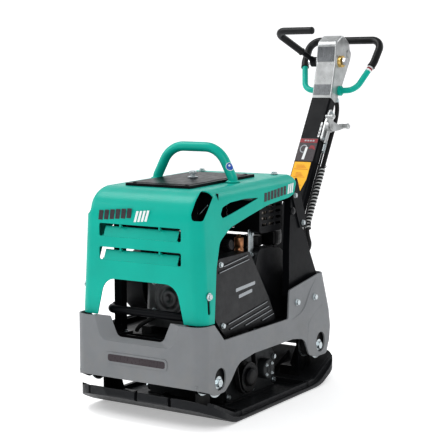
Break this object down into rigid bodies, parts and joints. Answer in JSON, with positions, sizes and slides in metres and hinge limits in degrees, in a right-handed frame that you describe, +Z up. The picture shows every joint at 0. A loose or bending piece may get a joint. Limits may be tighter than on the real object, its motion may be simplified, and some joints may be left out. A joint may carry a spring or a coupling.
{
  "type": "plate compactor",
  "caption": "Reversible vibratory plate compactor: sprung engine frame under a hood with lifting handle, twin-shaft exciter on a cast sole plate, folding control arm.",
  "frame": {"origin": "centre of the sole plate's flat bottom face, on the ground plane", "axes": "+Z up, -Y the front with the bumper and louvres, +Y the rear with the folding control arm, +X the side with the belt cover"},
  "size_m": [0.476, 1.2687, 1.117],
  "materials": {
    "plate_iron": "rough black-painted casting",
    "black_paint": "black powder coat, satin",
    "case_grey": "dark grey enamel",
    "zinc_steel": "zinc plated",
    "mount_rubber": "matt rubber",
    "shaft_steel": "ground steel",
    "grey_paint": "mid grey powder coat, fine texture",
    "teal_paint": "teal-green enamel, satin gloss",
    "teal_tube": "teal-green powder coat",
    "engine_alloy": "cast, bead blasted",
    "hot_steel": "heat tinted steel",
    "black_plastic": "moulded, fine grain",
    "belt_rubber": "cord-wrapped belt",
    "head_alloy": "cast, silver",
    "panel_alloy": "brushed",
    "brass_bush": "turned",
    "red_plastic": "red push button",
    "sleeve_rubber": "ribbed grip"
  },
  "bodies": {
    "base": {"base_plate": "plate_iron", "mount_brackets": "black_paint", "inner_mount_plates": "zinc_steel", "shock_mounts": "mount_rubber", "exciter_case": "case_grey", "exciter_cover_right": "case_grey", "exciter_cover_left": "case_grey", "exciter_bearings": "shaft_steel", "exciter_fasteners": "zinc_steel", "phase_cylinder": "case_grey"},
    "front_shaft": {"front_eccentric": "shaft_steel", "front_gear": "shaft_steel", "exciter_pulley": "black_paint"},
    "rear_shaft": {"rear_eccentric": "shaft_steel", "rear_gear": "shaft_steel"},
    "frame": {"deck_frame": "black_paint", "outer_mount_plates": "zinc_steel", "front_bumper": "grey_paint", "rear_bumper": "grey_paint", "side_posts": "black_paint", "frame_bolts": "zinc_steel", "guard_frame": "black_paint", "engine_guard": "black_paint", "hood": "teal_paint", "top_plate": "black_paint", "lifting_handle": "teal_tube", "belt_cover": "black_plastic", "drive_belt": "belt_rubber", "handle_bracket": "black_paint", "frame_lines": "belt_rubber", "crankcase": "engine_alloy", "cylinder": "engine_alloy", "cylinder_head": "engine_alloy", "muffler": "hot_steel", "muffler_guard": "black_paint", "air_cleaner": "black_plastic", "carburettor": "engine_alloy", "fuel_tank": "black_plastic", "recoil_housing": "black_plastic", "pivot_pin": "zinc_steel"},
    "crank": {"crankshaft": "shaft_steel", "clutch_pulley": "shaft_steel"},
    "cap": {"fuel_cap": "black_plastic"},
    "starter": {"starter_grip": "black_plastic"},
    "stop_button": {"stop_switch": "red_plastic"},
    "lock": {"lock_pin": "zinc_steel"},
    "handle": {"handle_arm": "black_paint", "pivot_bushes": "mount_rubber", "control_head": "head_alloy", "head_panels": "panel_alloy", "guard_loop": "teal_tube", "loop_sleeve": "sleeve_rubber", "lever_bushes": "brass_bush", "throttle_bracket": "head_alloy", "handle_lines": "belt_rubber"},
    "lever": {"travel_lever": "black_paint", "lever_sleeve": "sleeve_rubber", "lever_shaft": "shaft_steel"},
    "rack": {"control_rack": "shaft_steel"},
    "throttle": {"throttle_lever": "head_alloy"}
  },
  "joints": [
    {"name": "frame_float", "type": "slide", "parent": "base", "child": "frame", "axis": [0, 0, 1], "range_m": [-0.003, 0.003], "stiffness_N_per_m": 600000, "springref_m": 0.00187},
    {"name": "front_shaft_spin", "type": "hinge", "parent": "base", "child": "front_shaft", "pos_m": [0, -0.058, 0.086], "axis": [1, 0, 0], "continuous": true},
    {"name": "rear_shaft_spin", "type": "hinge", "parent": "base", "child": "rear_shaft", "pos_m": [0, 0.058, 0.086], "axis": [1, 0, 0], "continuous": true},
    {"name": "crank_spin", "type": "hinge", "parent": "frame", "child": "crank", "pos_m": [0, -0.12, 0.355], "axis": [1, 0, 0], "continuous": true},
    {"name": "fuel_cap_turn", "type": "hinge", "parent": "frame", "child": "cap", "pos_m": [0.07, 0.118, 0.46], "axis": [0, 0, 1], "range_deg": [0, 90]},
    {"name": "starter_pull", "type": "slide", "parent": "frame", "child": "starter", "axis": [-1, 0, 0], "range_m": [0, 0.3], "stiffness_N_per_m": 40, "springref_m": -0.02},
    {"name": "stop_press", "type": "slide", "parent": "frame", "child": "stop_button", "axis": [0, 1, 0], "range_m": [0, 0.004], "stiffness_N_per_m": 300},
    {"name": "handle_fold", "type": "hinge", "parent": "frame", "child": "handle", "pos_m": [0, 0.404, 0.358], "axis": [1, 0, 0], "range_deg": [0, 35]},
    {"name": "lock_push", "type": "slide", "parent": "frame", "child": "lock", "axis": [1, 0, 0], "range_m": [0, 0.009], "stiffness_N_per_m": 300},
    {"name": "travel_lever_swing", "type": "hinge", "parent": "handle", "child": "lever", "pos_m": [0, 0.74475, 1.0042], "axis": [1, 0, 0], "range_deg": [-30, 30]},
    {"name": "rack_slide", "type": "slide", "parent": "handle", "child": "rack", "axis": [0, 0.5, 0.866], "range_m": [-0.01, 0.01]},
    {"name": "throttle_turn", "type": "hinge", "parent": "handle", "child": "throttle", "pos_m": [0.057, 0.651, 0.78582], "axis": [1, 0, 0], "range_deg": [-35, 0]}
  ],
  "couplings": [
    {"joint": "rear_shaft_spin", "follows": "front_shaft_spin", "ratio": -1},
    {"joint": "rack_slide", "follows": "travel_lever_swing", "m_per_rad": 0.018}
  ]
}
